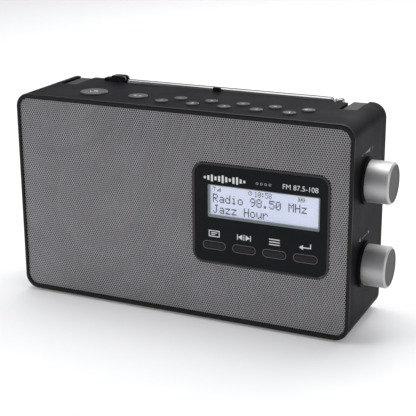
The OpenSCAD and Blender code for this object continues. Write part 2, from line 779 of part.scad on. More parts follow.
placed() aerial_hinge_pin();
placed() aerial_tube(0);  // aerial_tube_1
placed() aerial_tube(1);  // aerial_tube_2
placed() aerial_tube(2);  // aerial_tube_3
placed() aerial_tube(3);  // aerial_tube_4
placed() aerial_tube(4);  // aerial_tube_5
placed() aerial_rest();
placed() battery_tray();
placed() battery_contacts();
placed() battery_cells();
placed() battery_door();
placed() headphone_socket();
placed() power_socket();
placed() rubber_feet();
placed() case_screws();
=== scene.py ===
# %% [markdown]
# # A tabletop radio, finished in Blender
# The radio's frame comes in first: every cabinet half, key, knob and tube at its real size and
# place, in metres, with +Z up and the front facing -Y. Everything made below is fitted to it.
# Shapes whose form is already right only get a finish. The others are modelled again with their
# rounded edges, holes and small details, and stand in for the plain ones.

# %% The frame
import json
import math
import bpy
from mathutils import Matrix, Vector

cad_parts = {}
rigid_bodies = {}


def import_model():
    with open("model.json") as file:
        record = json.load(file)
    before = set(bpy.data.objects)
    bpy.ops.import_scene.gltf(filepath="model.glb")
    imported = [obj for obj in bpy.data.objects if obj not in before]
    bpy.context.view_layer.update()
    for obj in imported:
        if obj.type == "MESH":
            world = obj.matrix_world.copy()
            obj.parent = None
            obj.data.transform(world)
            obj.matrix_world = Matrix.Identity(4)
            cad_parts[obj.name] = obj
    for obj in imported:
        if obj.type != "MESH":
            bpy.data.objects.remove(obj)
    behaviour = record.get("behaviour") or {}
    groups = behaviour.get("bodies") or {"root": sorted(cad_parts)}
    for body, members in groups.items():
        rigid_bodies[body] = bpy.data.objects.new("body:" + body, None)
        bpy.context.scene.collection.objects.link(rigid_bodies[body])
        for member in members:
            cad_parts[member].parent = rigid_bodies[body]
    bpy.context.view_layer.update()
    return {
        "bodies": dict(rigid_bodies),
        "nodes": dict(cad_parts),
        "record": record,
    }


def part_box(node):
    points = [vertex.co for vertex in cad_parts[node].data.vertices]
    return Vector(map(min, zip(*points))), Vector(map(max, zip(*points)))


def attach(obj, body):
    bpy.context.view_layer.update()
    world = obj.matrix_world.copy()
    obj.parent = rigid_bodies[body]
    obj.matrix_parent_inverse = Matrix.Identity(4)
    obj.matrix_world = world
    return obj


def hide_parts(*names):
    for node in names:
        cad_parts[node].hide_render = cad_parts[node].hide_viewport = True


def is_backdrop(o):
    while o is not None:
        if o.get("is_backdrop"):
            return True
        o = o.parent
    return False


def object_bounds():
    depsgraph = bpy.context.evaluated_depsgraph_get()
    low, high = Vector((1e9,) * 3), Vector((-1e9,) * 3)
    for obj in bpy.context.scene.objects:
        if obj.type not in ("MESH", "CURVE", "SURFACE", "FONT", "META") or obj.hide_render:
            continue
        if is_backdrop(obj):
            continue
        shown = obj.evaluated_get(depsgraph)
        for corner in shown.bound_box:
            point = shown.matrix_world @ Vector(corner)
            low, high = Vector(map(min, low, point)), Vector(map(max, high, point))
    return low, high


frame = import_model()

MM = 0.001
nodes = frame["nodes"]


def mm(corners):
    """Both corners of a box, in millimetres."""
    return [corner / MM for corner in corners]


# %% [markdown]
# ## Camera, light and floor
# A product picture like this one is taken with a long lens from a little above, so that the
# edges converge only slightly. The camera stands in front of the right side, at the height of
# two cabinets. Large area lamps play the part of soft boxes: one above, one at each side and one
# behind, and a fifth brightens the sheet behind the radio. A lamp can also be a sphere or the sky
# alone, but a rectangle leaves the straight bright streaks on chrome and turned metal that a studio
# does.

# %% Camera
cabinet_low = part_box("front_cabinet")[0]
cabinet_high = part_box("rear_cabinet")[1]
mid_x = (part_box("rear_cabinet")[0].x + cabinet_high.x) / 2 / MM
mid_y = (cabinet_low.y + cabinet_high.y) / 2 / MM
camera_place = Vector((mid_x + 326.5, mid_y - 690.0, 315.0)) * MM
LOOK_DOWN, ROLL, FROM_THE_RIGHT = (math.radians(v) for v in (17.90, 0.32, 24.66))
camera_turn = (math.pi / 2 - LOOK_DOWN, ROLL, FROM_THE_RIGHT)
bpy.ops.object.camera_add(location=camera_place, rotation=camera_turn)
camera = bpy.context.object
camera.name = "camera"
camera.data.lens = 97.7
camera.data.sensor_width = 36
camera.data.clip_start, camera.data.clip_end = 0.01, 20
bpy.context.scene.camera = camera

print("camera", round(camera.data.lens, 1), "mm lens,", [round(v, 2) for v in camera.location])

# %% Lamps and sky
def soft_box(name, place, target, size, power):
    """A rectangular area lamp at a place, turned towards a target."""
    bpy.ops.object.light_add(type="AREA")
    lamp = bpy.context.object
    lamp.name = name
    lamp.data.shape = "RECTANGLE"
    lamp.data.size, lamp.data.size_y = size
    lamp.data.energy = power
    lamp.location = place
    lamp.rotation_euler = (Vector(target) - Vector(place)).to_track_quat("-Z", "Y").to_euler()


middle = Vector((0, 0, 0.075))
soft_box("top_box", (-0.15, 0.25, 1.3), middle, (1.2, 0.8), 12)
soft_box("left_box", (-1.2, -0.9, 0.9), middle, (0.7, 0.8), 6.5)
soft_box("right_box", (1.25, -0.25, 0.6), middle, (0.5, 0.8), 3.2)
soft_box("back_box", (0.3, 1.4, 0.9), middle, (1.6, 0.9), 6)
soft_box("wall_box", (-0.2, 1.0, 1.7), (-0.4, 2.4, 0.5), (2.0, 0.5), 14)

world = bpy.data.worlds.new("studio")
bpy.context.scene.world = world
world.use_nodes = True
world.node_tree.nodes["Background"].inputs["Color"].default_value = (0.95, 0.97, 1, 1)
world.node_tree.nodes["Background"].inputs["Strength"].default_value = 0.3
bpy.context.scene.view_settings.view_transform = "Standard"

# %% [markdown]
# ## Finishes
# Every finish is a Principled shader with procedural nodes in front of it. Moulded plastic isn't
# flat: its tool leaves a fine grain, which is a noise texture of about a third of a millimetre
# used as a bump, and handling changes its gloss in broad patches, which is a second, much larger
# noise on the roughness. Object coordinates keep the grain the same size on every piece.

# %% A finish and its nodes
def new_finish(name, **sockets):
    """An empty finish: its material, its nodes and its shader, with the shader's values set."""
    material = bpy.data.materials.new(name)
    material.use_nodes = True
    tree = material.node_tree
    shader = tree.nodes["Principled BSDF"]
    for socket, value in sockets.items():
        shader.inputs[socket.replace("_", " ")].default_value = value
    return material, tree, shader


def add(tree, kind, inputs=(), **settings):
    """Adds a node, sets its properties and links or sets its inputs."""
    node = tree.nodes.new(kind)
    for key, value in settings.items():
        setattr(node, key, value)
    for key, value in dict(inputs).items():
        if isinstance(value, bpy.types.NodeSocket):
            tree.links.new(value, node.inputs[key])
        else:
            node.inputs[key].default_value = value
    return node


def coordinates(tree, scale=(1, 1, 1), place=(0, 0, 0)):
    """Object coordinates, stretched or moved."""
    source = add(tree, "ShaderNodeTexCoord")
    mapping = add(tree, "ShaderNodeMapping", {"Vector": source.outputs["Object"], "Scale": scale,
                                              "Location": place})
    return mapping.outputs["Vector"]


print("finish helpers ready")

# %% Patterns
def noise(tree, scale, detail=2.0, vector=None):
    """A noise texture's value, with scale in bumps per metre."""
    vector = vector or coordinates(tree)
    node = add(tree, "ShaderNodeTexNoise", {"Vector": vector, "Scale": scale, "Detail": detail})
    return node.outputs["Fac"]


def spread(tree, value, low, high):
    """Stretches a noise of about 0.3 to 0.7 over a range."""
    return add(tree, "ShaderNodeMapRange", {"Value": value, "From Min": 0.3, "From Max": 0.7,
                                            "To Min": low, "To Max": high}).outputs["Result"]


def tones(tree, value, dark, light):
    """Turns a value into a colour between two."""
    ramp = add(tree, "ShaderNodeValToRGB", {"Fac": value})
    ramp.color_ramp.elements[0].position, ramp.color_ramp.elements[1].position = 0.3, 0.7
    ramp.color_ramp.elements[0].color = (*dark, 1)
    ramp.color_ramp.elements[1].color = (*light, 1)
    return ramp.outputs["Color"]


def bump(tree, shader, height, depth):
    """Lets a height drive the shader's normal. depth is in metres."""
    node = add(tree, "ShaderNodeBump", {"Height": height, "Distance": depth, "Strength": 0.5})
    tree.links.new(node.outputs["Normal"], shader.inputs["Normal"])


print("patterns: noise, spread, tones, bump")

# %% Plastic and metal
def moulded(name, colour, roughness, grain=3000, depth=0.02, vary=0.06, mirror=0.5, **sockets):
    """Moulded plastic or rubber: a fine tool grain, and gloss that drifts in patches."""
    material, tree, shader = new_finish(name, Specular_IOR_Level=mirror, **sockets)
    patches = noise(tree, 35, 3)
    light = [c * 1.18 + 0.001 for c in colour]
    tree.links.new(tones(tree, patches, colour, light), shader.inputs["Base Color"])
    tree.links.new(spread(tree, patches, roughness - vary, roughness + vary), shader.inputs["Roughness"])
    bump(tree, shader, noise(tree, grain, 2), depth * MM)
    return material


def metal(name, colour, roughness, stretch=(1, 1, 1), scale=400, vary=0.08, depth=0.004, **sockets):
    """Bare or plated metal. Stretching the noise along one direction gives brushed lines."""
    material, tree, shader = new_finish(name, Metallic=1.0, **sockets)
    lines = noise(tree, scale, 4, coordinates(tree, scale=stretch))
    light = [min(1, c * 1.12) for c in colour]
    gloss = spread(tree, lines, max(0.02, roughness - vary), roughness + vary)
    tree.links.new(tones(tree, lines, colour, light), shader.inputs["Base Color"])
    tree.links.new(gloss, shader.inputs["Roughness"])
    bump(tree, shader, lines, depth * MM)
    return material


print("finishes can be moulded or metal")

# %% [markdown]
# ## Three special finishes
# The lit display gives off light of its own, a little unevenly, because its lamp sits at one end.
# The circuit boards show copper under green lacquer, which a Voronoi texture draws as pads and lands.
# The clear window only needs a trace of haze, so that it shows as a surface at all.

# %% Display, board and lens
def lit_display():
    """A back-lit display whose brightness drifts a little."""
    material, tree, shader = new_finish("lit display", Roughness=0.3)
    drift = noise(tree, 18, 1)
    colour = tones(tree, drift, (0.52, 0.57, 0.72), (0.6, 0.64, 0.78))
    tree.links.new(colour, shader.inputs["Base Color"])
    tree.links.new(colour, shader.inputs["Emission Color"])
    shader.inputs["Emission Strength"].default_value = 0.42
    return material


def board(name):
    """A lacquered circuit board with copper lands showing through."""
    material, tree, shader = new_finish(name, Roughness=0.35)
    cells = add(tree, "ShaderNodeTexVoronoi", {"Vector": coordinates(tree), "Scale": 280.0})
    lands = add(tree, "ShaderNodeMapRange", {"Value": cells.outputs["Distance"],
                                             "From Min": 0.15, "From Max": 0.25})
    green = tones(tree, noise(tree, 90), (0.01, 0.09, 0.03), (0.015, 0.14, 0.05))
    mix = add(tree, "ShaderNodeMix", data_type="RGBA")
    tree.links.new(lands.outputs["Result"], mix.inputs["Factor"])
    mix.inputs["A"].default_value = (0.55, 0.42, 0.2, 1)
    tree.links.new(green, mix.inputs["B"])
    tree.links.new(mix.outputs["Result"], shader.inputs["Base Color"])
    bump(tree, shader, lands.outputs["Result"], 0.03 * MM)
    return material


def clear_lens():
    """Clear acrylic with a faint haze of handling in its gloss."""
    material, tree, shader = new_finish("clear acrylic", Base_Color=(1, 1, 1, 1), IOR=1.45, Alpha=0.07)
    tree.links.new(spread(tree, noise(tree, 60, 3), 0.03, 0.12), shader.inputs["Roughness"])
    material.surface_render_method = "BLENDED"
    return material


print("special finishes ready")

# %% [markdown]
# ## All the finishes
# Each material slot of the frame gets one finish. Some plastics here mirror less light than a plain
# shader would, so that black stays black: DULL for gloss parts and FAINT for the satin cabinet.

# %% The table of finishes
DULL = 0.2
FAINT = 0.02
finishes = {
    "cabinet_plastic": moulded("satin black plastic", (0.008, 0.008, 0.0105), 0.45, mirror=FAINT),
    "rear_plastic": moulded("matt black plastic", (0.009, 0.009, 0.0115), 0.5, depth=0.03, mirror=FAINT),
    "grille_metal": moulded("silver lacquered steel", (0.42, 0.405, 0.422), 0.36, depth=0.006,
                            Metallic=0.55),
    "panel_gloss": moulded("gloss black panel", (0.005, 0.006, 0.008), 0.12, depth=0.002, vary=0.03,
                           mirror=0.1),
    "lens": clear_lens(),
    "lcd": lit_display(),
    "lcd_frame": moulded("white diffuser plastic", (0.6, 0.6, 0.58), 0.5),
    "circuit_board": board("green circuit board"),
    "switch_plastic": moulded("switch plastic", (0.03, 0.03, 0.035), 0.4),
    "panel_key_gloss": moulded("gloss black key", (0.010, 0.010, 0.012), 0.2, depth=0.002, vary=0.04,
                               mirror=DULL),
    "top_key_plastic": moulded("grey painted key", (0.045, 0.045, 0.049), 0.3, depth=0.008, mirror=DULL),
    "knob_metal": metal("turned aluminium", (0.50, 0.495, 0.49), 0.28, stretch=(14, 1, 1), scale=260),
    "knob_core_plastic": moulded("knob core plastic", (0.02, 0.02, 0.02), 0.5),
    "steel": metal("bright steel", (0.55, 0.55, 0.56), 0.25),
    "control_housing": metal("control housing", (0.38, 0.38, 0.4), 0.4),
    "speaker_frame": moulded("painted speaker frame", (0.03, 0.03, 0.033), 0.45, Metallic=0.4),
    "speaker_paper": moulded("speaker paper", (0.02, 0.02, 0.02), 0.85, grain=1200, depth=0.15),
    "magnet": moulded("ferrite", (0.05, 0.05, 0.055), 0.6, grain=800, depth=0.06),
    "handle_plastic": moulded("grey handle plastic", (0.035, 0.036, 0.039), 0.42, mirror=0.1),
    "aerial_plastic": moulded("gloss black fitting", (0.012, 0.012, 0.014), 0.22, depth=0.004),
    "aerial_chrome": metal("chrome plate", (0.2, 0.2, 0.205), 0.1, stretch=(0.2, 1, 1), vary=0.03,
                           depth=0.0),
    "cell_jacket": moulded("cell jacket", (0.5, 0.32, 0.05), 0.35, Metallic=0.5),
    "socket_plastic": moulded("socket plastic", (0.015, 0.015, 0.015), 0.4),
    "foot_rubber": moulded("foot rubber", (0.015, 0.015, 0.015), 0.8, grain=1500, depth=0.06),
}

print(len(finishes), "finishes")

# %% Inks, and a finish for every frame part
white_print = moulded("white printing ink", (0.72, 0.73, 0.74), 0.5, depth=0.004)
grey_print = moulded("grey printing ink", (0.24, 0.24, 0.25), 0.5, depth=0.004)
lcd_ink = moulded("dark display segments", (0.006, 0.008, 0.02), 0.5, depth=0.002)
window_edge = moulded("grey window edge", (0.17, 0.19, 0.19), 0.35, depth=0.004)

for part in frame["record"]["subparts"]:
    mesh = nodes[part["node"]].data
    mesh.materials.clear()
    mesh.materials.append(finishes[part["material_slot"]])

# %% [markdown]
# ## The floor
# A single large sheet under the feet, curved up behind the radio, so that there's no horizon line
# in the picture. Studios call it a sweep. A plane and a wall would meet in a visible corner.
# It's lit a little from below, as a light table is, which keeps the shadow under the radio faint.

# %% Edit mode
def only(piece):
    """Makes one piece the active and the only selected one."""
    bpy.ops.object.select_all(action="DESELECT")
    bpy.context.view_layer.objects.active = piece
    piece.select_set(True)


def edit(piece):
    """Starts work on one piece with nothing of it selected."""
    only(piece)
    bpy.ops.object.mode_set(mode="EDIT")
    bpy.ops.mesh.select_all(action="DESELECT")


def leave():
    """Ends work in edit mode."""
    bpy.ops.object.mode_set(mode="OBJECT")


def pick(piece, test, kind="FACE"):
    """Selects the faces, edges or points of the piece in edit mode whose middle passes the test."""
    bpy.ops.mesh.select_mode(type=kind)
    bpy.ops.mesh.select_all(action="DESELECT")
    bpy.ops.object.mode_set(mode="OBJECT")
    mesh = piece.data
    points = mesh.vertices
    if kind == "FACE":
        answers = [(face, test(face.center, face.normal)) for face in mesh.polygons]
    elif kind == "EDGE":
        answers = [(edge, test(*(points[i].co for i in edge.vertices))) for edge in mesh.edges]
    else:
        answers = [(point, test(point.co)) for point in points]
    for item, answer in answers:
        item.select = bool(answer)
    bpy.ops.object.mode_set(mode="EDIT")
    return sum(bool(answer) for _, answer in answers)


print("edit, leave and pick are ready")

# %% Merging points and turning faces outwards
def merge(distance):
    """Merges the points of the piece in edit mode that lie within a distance in mm."""
    bpy.ops.mesh.select_all(action="SELECT")
    bpy.ops.mesh.remove_doubles(threshold=distance * MM)


def outwards():
    """Turns every face of the piece in edit mode outwards."""
    bpy.ops.mesh.select_all(action="SELECT")
    bpy.ops.mesh.normals_make_consistent(inside=False)


print("merge and outwards are ready")

# %% Sweep
SHEET = 9
WALL_Y = 3.5
bpy.ops.mesh.primitive_plane_add(size=SHEET, location=(0, WALL_Y - SHEET / 2, 0))
sweep = bpy.context.object
sweep.name = "sweep"
bpy.ops.object.transform_apply()
WALL = 3
CURVE = 1.2
edit(sweep)
pick(sweep, lambda a, b: min(a.y, b.y) > WALL_Y - 0.1, "EDGE")
bpy.ops.mesh.extrude_region_move(TRANSFORM_OT_translate={"value": (0, 0, WALL)})
pick(sweep, lambda a, b: min(a.y, b.y) > WALL_Y - 0.1 and max(a.z, b.z) < 0.01, "EDGE")
bpy.ops.mesh.bevel(offset=CURVE, segments=12)
leave()
bpy.ops.object.shade_smooth()
white_sheet, tree, shader = new_finish("white sheet", Roughness=0.7)
white = tones(tree, noise(tree, 3), (0.86, 0.86, 0.87), (0.88, 0.88, 0.89))
tree.links.new(white, shader.inputs["Base Color"])
tree.links.new(white, shader.inputs["Emission Color"])
shader.inputs["Emission Strength"].default_value = 0.16
sweep.data.materials.append(white_sheet)
sweep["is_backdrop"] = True
print("sweep", len(sweep.data.polygons), "faces")

# %% [markdown]
# ## Three ways to start a piece
# A moulded part starts as a block whose upright edges are rounded. A turned part, such as a knob,
# starts as a disc that is extruded and scaled step by step, the way a lathe works along its axis.
# A part whose form is already right in the frame starts as a copy of it. Its loose triangles are
# merged and flat ones dissolved, so that a bevel can find its real edges.
#
# Every piece then ends the same way: small rounded edges, normals that point out, smooth shading
# that stops at sharp edges, a finish, and the body that carries it. The weighted normals keep
# large flat faces flat, where plain smooth shading would draw a grey gradient across them.

# %% Block
def centred(piece, name):
    """Names a piece and moves its place and turn into its mesh."""
    piece.name = name
    piece.data.name = name
    only(piece)
    bpy.ops.object.transform_apply(location=True, rotation=True, scale=True)
    return piece


def slab(name, low, high, corner=0, axis=1, segments=10):
    """A block between two corners, in millimetres, its four edges along one axis rounded."""
    middle = [(a + b) / 2 * MM for a, b in zip(low, high)]
    bpy.ops.mesh.primitive_cube_add(size=1, location=middle)
    piece = bpy.context.object
    piece.scale = [(b - a) * MM for a, b in zip(low, high)]
    centred(piece, name)
    if corner:
        edit(piece)
        others = [i for i in range(3) if i != axis]
        pick(piece, lambda a, b: all(abs(a[i] - b[i]) < 1e-6 for i in others), "EDGE")
        bpy.ops.mesh.bevel(offset=corner * MM, segments=segments)
        leave()
    return piece


def inner_slab(name, low, high, margin, front, back, corner, segments=10):
    """A block between two depths whose outline lies a margin inside a box."""
    return slab(name, (low.x + margin, front, low.z + margin), (high.x - margin, back, high.z - margin),
                corner, segments=segments)


print("blocks are ready")

# %% Turned shape
def turned(name, steps, place, axis="Z", segments=64):
    """A closed turned shape. Its steps are (distance along the axis, radius) in millimetres."""
    along, radius = steps[0]
    bpy.ops.mesh.primitive_circle_add(vertices=segments, radius=radius * MM, fill_type="NGON")
    piece = bpy.context.object
    edit(piece)
    bpy.ops.mesh.select_all(action="SELECT")
    bpy.ops.transform.translate(value=(0, 0, along * MM))
    for next_along, next_radius in steps[1:]:
        bpy.ops.mesh.extrude_region_move(TRANSFORM_OT_translate={"value": (0, 0, (next_along - along) * MM)})
        ratio = next_radius / radius
        bpy.ops.transform.resize(value=(ratio, ratio, 1), center_override=(0, 0, next_along * MM))
        along, radius = next_along, next_radius
    outwards()
    leave()
    piece.location = [v * MM for v in place]
    piece.rotation_euler = {"X": (0, math.pi / 2, 0), "Y": (-math.pi / 2, 0, 0), "Z": (0, 0, 0)}[axis]
    return centred(piece, name)


print("turned shapes are ready")

# %% Copy of a frame part
def copy_of(node, name):
    """A copy of a frame part, merged and with whole flat faces."""
    piece = bpy.data.objects.new(name, nodes[node].data.copy())
    bpy.context.collection.objects.link(piece)
    edit(piece)
    merge(0.001)
    bpy.ops.mesh.dissolve_limited(angle_limit=math.radians(0.4))
    leave()
    return piece


print("copies are ready")

# %% Modifiers
def modify(piece, kind, **settings):
    """Adds a modifier, sets it and applies it."""
    only(piece)
    modifier = piece.modifiers.new(kind.title(), kind)
    for key, value in settings.items():
        setattr(modifier, key, value)
    bpy.ops.object.modifier_apply(modifier=modifier.name)


def soften(piece, width, segments=2):
    """Rounds every sharp edge by a width in millimetres."""
    modify(piece, "BEVEL", width=width * MM, segments=segments, limit_method="ANGLE",
           angle_limit=math.radians(35), use_clamp_overlap=True, miter_outer="MITER_ARC")


def cut(piece, *tools, operation="DIFFERENCE"):
    """Takes tools away from a piece, or joins them to it as one solid."""
    for tool in tools:
        modify(piece, "BOOLEAN", object=tool, operation=operation, solver="EXACT")
        bpy.data.objects.remove(tool)


print("modify, soften and cut are ready")

# %% Joining and copying
def join(name, pieces):
    """Puts several meshes in one piece."""
    only(pieces[0])
    for piece in pieces:
        piece.select_set(True)
    bpy.ops.object.join()
    pieces[0].name = name
    return pieces[0]


def copies(first, places):
    """Copies a mesh to places given in millimetres from where it is, and joins them all."""
    made = []
    for place in places:
        piece = first.copy()
        piece.data = first.data.copy()
        piece.location = [v * MM for v in place]
        bpy.context.collection.objects.link(piece)
        made.append(piece)
    bpy.data.objects.remove(first)
    whole = join(made[0].name, made)
    return centred(whole, whole.name)


print("join and copies are ready")

# %% The last step
home = {}
for body_name, body in frame["bodies"].items():
    for node_name, node in nodes.items():
        if node.parent == body:
            home[node_name] = body_name


def done(piece, body, finish, replaced=()):
    """Shades a piece, gives it its finish and lets it ride on its body."""
    only(piece)
    bpy.ops.object.shade_smooth_by_angle(angle=math.radians(30))
    modify(piece, "WEIGHTED_NORMAL", keep_sharp=True)
    if not isinstance(finish, (list, tuple)):
        finish = [finish]
    piece.data.materials.clear()
    for material in finish:
        piece.data.materials.append(material)
    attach(piece, body)
    if replaced:
        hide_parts(*replaced)
    print(piece.name, len(piece.data.polygons), "faces on", body)
    return piece


def stand_in(node, piece, finish=None):
    """A finished piece that takes the place of one frame part, on its body and in its slot."""
    slot = next(p["material_slot"] for p in frame["record"]["subparts"] if p["node"] == node)
    return done(piece, home[node], finish or finishes[slot], [node])


def round_off(node, name, width, segments=2):
    """A copy of a frame part with rounded edges, in its place."""
    piece = copy_of(node, name)
    soften(piece, width, segments)
    stand_in(node, piece)


# %% [markdown]
# ## The two cabinet halves
# The cabinet is injection moulded in two shells that meet near the back. The front shell holds the
# slots of the handle and the round holes of the keys. Its shape is worked out in the frame already,
# so it's copied and its edges are rounded as a mould rounds them: a broad round on the rim in front,
# where a hand feels it, and a fine one everywhere else. The rim is polished, the sides are grained,
# so the faces in front get a second finish.

# %% Front cabinet
front_y = cabinet_low.y / MM
back_y = cabinet_high.y / MM
bottom_z = cabinet_low.z / MM
top_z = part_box("front_cabinet")[1].z / MM
half_w = cabinet_high.x / MM - mid_x
half_h = (top_z - bottom_z) / 2
mid_z = (top_z + bottom_z) / 2
CORNER = 10
polished = moulded("polished rim", (0.006, 0.006, 0.007), 0.2, depth=0.002, vary=0.03, mirror=DULL)


def on_front_rim(a, b):
    """Edges of the outer outline of the front face."""
    near = max(a.y, b.y) < (front_y + 0.01) * MM
    middle = (a + b) / 2 / MM
    across = abs(middle.x - mid_x) - half_w
    upward = abs(middle.z - mid_z) - half_h
    outside = across > -0.3 or upward > -0.3
    corner = across > -CORNER and upward > -CORNER
    corner = corner and math.hypot(across + CORNER, upward + CORNER) > CORNER - 1
    return near and (outside or corner)


RIM_ROUND = 1.3
POLISHED_DEPTH = 1.9
shell = copy_of("front_cabinet", "front_cabinet_shell")
edit(shell)
print("rim edges", pick(shell, on_front_rim, "EDGE"))
bpy.ops.mesh.bevel(offset=RIM_ROUND * MM, segments=4, profile=0.6)
leave()
soften(shell, 0.3)
stand_in("front_cabinet", shell, [finishes["cabinet_plastic"], polished])
for face in shell.data.polygons:
    if face.center.y < (front_y + POLISHED_DEPTH) * MM:
        face.material_index = 1

# %% Rear cabinet
round_off("rear_cabinet", "rear_cabinet_shell", 0.35)

# %% [markdown]
# ## The perforated grille
# The sheet is steel with thousands of small round holes in staggered rows. A picture of holes would
# turn grey up close, so the holes are real. One cell is made: a small rectangle bridged to an
# eight-sided hole. An array makes a row of it. A second row stands half a pitch aside, and a second
# array stacks the pair. What lies outside the outline or under the display panel is taken out, and
# Solidify gives the sheet its thickness, which also makes the walls of the holes.

# %% One cell
PITCH = 1.65
ROW = PITCH * math.sqrt(3) / 2
HOLE_R = 0.7
CORNERS = 8
THICK = 0.75
grille_low, grille_high = mm(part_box("speaker_grille"))
panel_low, panel_high = mm(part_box("display_bezel"))

bpy.ops.mesh.primitive_grid_add(x_subdivisions=2, y_subdivisions=2, size=1, location=(0, 0, 0),
                                rotation=(math.pi / 2, 0, 0))
sheet = bpy.context.object
sheet.scale = (PITCH * MM, ROW * MM, 1)
centred(sheet, "grille_sheet")
edit(sheet)
pick(sheet, lambda p: p.length < 0.01 * MM, "VERT")
bpy.ops.mesh.delete(type="VERT")
bpy.ops.mesh.primitive_circle_add(vertices=CORNERS, radius=HOLE_R * MM, location=(0, 0, 0),
                                  rotation=(math.pi / 2, 0, 0))
bpy.ops.mesh.select_all(action="SELECT")
bpy.ops.mesh.bridge_edge_loops()
leave()
print("cell", len(sheet.data.vertices), "points", len(sheet.data.polygons), "faces")

# %% Rows
columns = math.ceil((grille_high.x - grille_low.x) / PITCH) + 1
pairs = math.ceil((grille_high.z - grille_low.z) / ROW / 2) + 1
modify(sheet, "ARRAY", count=columns, use_relative_offset=False, use_constant_offset=True,
       constant_offset_displace=(PITCH * MM, 0, 0))
sheet = copies(sheet, [(0, 0, 0), (PITCH / 2, 0, ROW)])
modify(sheet, "ARRAY", count=pairs, use_relative_offset=False, use_constant_offset=True,
       constant_offset_displace=(0, 0, 2 * ROW * MM))
sheet.location = Vector((grille_low.x, grille_low.y + 0.02, grille_low.z)) * MM
centred(sheet, "grille_sheet")
edit(sheet)
merge(0.02)
leave()
print("sheet of", columns, "columns and", 2 * pairs, "rows")

# %% Outline
def outside_round_box(point, low, high, corner, margin):
    """How far, past a margin, a point lies outside an upright round-cornered box. All in mm."""
    across = abs(point.x / MM - (low.x + high.x) / 2) - (high.x - low.x) / 2 + corner
    upward = abs(point.z / MM - (low.z + high.z) / 2) - (high.z - low.z) / 2 + corner
    far = math.hypot(max(across, 0), max(upward, 0)) + min(max(across, upward), 0)
    return far - corner > margin


OUTLINE_R, PAST_OUTLINE = 7.25, 0.5
PANEL_R, UNDER_PANEL = 8, 1.2
edit(sheet)
gone = pick(sheet, lambda c, n: outside_round_box(c, grille_low, grille_high, OUTLINE_R, PAST_OUTLINE)
            or not outside_round_box(c, panel_low, panel_high, PANEL_R, -UNDER_PANEL))
bpy.ops.mesh.delete(type="FACE")
outwards()
leave()
if sheet.data.polygons[0].normal.y > 0:
    edit(sheet)
    bpy.ops.mesh.select_all(action="SELECT")
    bpy.ops.mesh.flip_normals()
    leave()

print("faces taken out", gone)

# %% [markdown]
# The sheet is kept as three strips, because one mesh with every hole would be too heavy to handle.
# They meet edge to edge, so that the seam doesn't show.

# %% Strips
strip_ends = [grille_low.x - 1, -65, -3, grille_high.x + 1]
strips = [sheet] + [sheet.copy() for _ in range(2)]
for strip in strips[1:]:
    strip.data = sheet.data.copy()
    bpy.context.collection.objects.link(strip)
for number, strip in enumerate(strips):
    start, end = strip_ends[number], strip_ends[number + 1]
    edit(strip)
    pick(strip, lambda c, n: not start < c.x / MM < end)
    bpy.ops.mesh.delete(type="FACE")
    leave()
    modify(strip, "SOLIDIFY", thickness=THICK * MM, offset=-1)
    strip.name = "grille_sheet_%d" % (number + 1)
    done(strip, "cabinet", finishes["grille_metal"],
         ["speaker_grille"] if number == 0 else [])

# %% [markdown]
# ## The display panel
# The panel is a gloss black moulding with a raised, rounded border, a window and four openings for
# keys. A block gets its corners, the front face is inset and pushed back to leave the border
# standing, and the window and the openings are cut through it. Each cut edge is then rounded.

# %% Panel
window_low, window_high = mm(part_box("display_window"))
KEYS = ["display_key", "autotune_key", "menu_key", "enter_key"]


def face_towards(piece, y):
    """Selects the faces that point to the front, with -1, or to the back, with 1."""
    pick(piece, lambda c, n: n.y * y > 0.99)


BORDER, SLOPE, SUNK = 1.1, 0.5, 0.45
panel = slab("display_panel", panel_low, panel_high, corner=PANEL_R, segments=14)
edit(panel)
face_towards(panel, y=-1)
bpy.ops.mesh.inset(thickness=BORDER * MM)
bpy.ops.mesh.inset(thickness=SLOPE * MM, depth=-SUNK * MM)
leave()
panel_face_y = panel_low.y + SUNK
before, behind = panel_low.y - 1, panel_high.y + 1
cut(panel, inner_slab("window_tool", window_low, window_high, -0.15, before, behind, 1))
for key in KEYS:
    key_low, key_high = mm(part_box(key))
    cut(panel, inner_slab("key_tool", key_low, key_high, 0.7, before, behind, 2.45))
soften(panel, 0.3, segments=3)
border = moulded("panel border", (0.010, 0.010, 0.012), 0.28, depth=0.002)
stand_in("display_bezel", panel, [finishes["panel_gloss"], border])
for face in panel.data.polygons:
    if face.center.y < (panel_face_y - 0.03) * MM:
        face.material_index = 1

# %% Window edge
edge_y = panel_face_y - 0.05
frame_edge = inner_slab("window_edge", window_low, window_high, -0.1, edge_y, window_high.y, 0.9)
cut(frame_edge, slab("edge_tool", (window_low.x + 1.3, before, window_low.z + 1.5),
                     (window_high.x - 1.0, behind, window_high.z - 0.6), corner=0.6))
edit(frame_edge)
window_mid = (window_low + window_high) / 2


def on_inner_edge(a, b):
    """Edges of the front outline of the opening."""
    middle = (a + b) / 2 / MM
    near = max(a.y, b.y) < (panel_face_y + 0.05) * MM
    half = (window_high - window_low) / 2
    across = abs(middle.x - window_mid.x)
    upward = abs(middle.z - window_mid.z)
    return near and across < half.x - 0.6 and upward < half.z - 0.2


pick(frame_edge, on_inner_edge, "EDGE")
bpy.ops.mesh.bevel(offset=0.55 * MM, segments=1)
leave()
done(frame_edge, "cabinet", window_edge)

# %% [markdown]
# ## The display
# The display is a glass cell with a lamp behind it. Its characters are a grid of five by seven small
# rectangles, taller than wide, which go dark one by one. A letter is written here as seven rows of
# five marks. One rectangle is modelled, and copied to each mark of the text.

